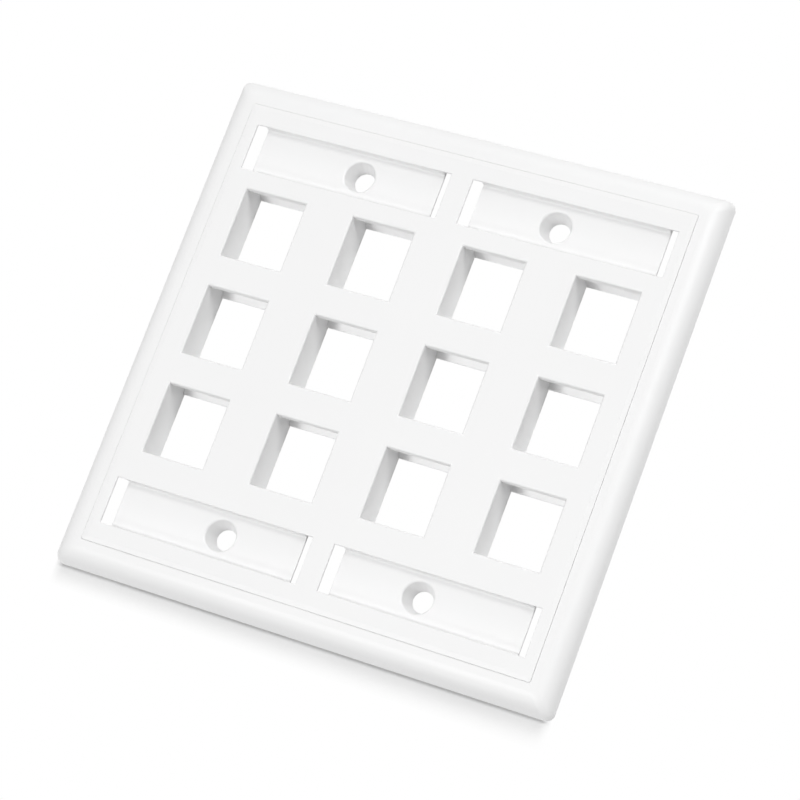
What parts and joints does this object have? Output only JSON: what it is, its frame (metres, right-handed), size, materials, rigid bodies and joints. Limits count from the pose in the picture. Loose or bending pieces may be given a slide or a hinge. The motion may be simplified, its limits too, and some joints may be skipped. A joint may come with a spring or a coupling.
{
  "type": "keystone faceplate",
  "caption": "Double-gang wall plate moulded in one piece, with snap-in ports for keystone jacks in rows, label recesses above and below, and countersunk screw holes.",
  "frame": {"origin": "under the middle of the outline, on the plane of the port collars' rear ends", "axes": "+X along the plate's width, +Y towards its top, +Z out of the face; the plate lies on its back"},
  "size_m": [0.1158, 0.1142, 0.0094],
  "materials": {
    "plate": "smooth white moulded ABS with a soft satin sheen"
  },
  "bodies": {
    "root": {"faceplate": "plate"}
  },
  "joints": []
}
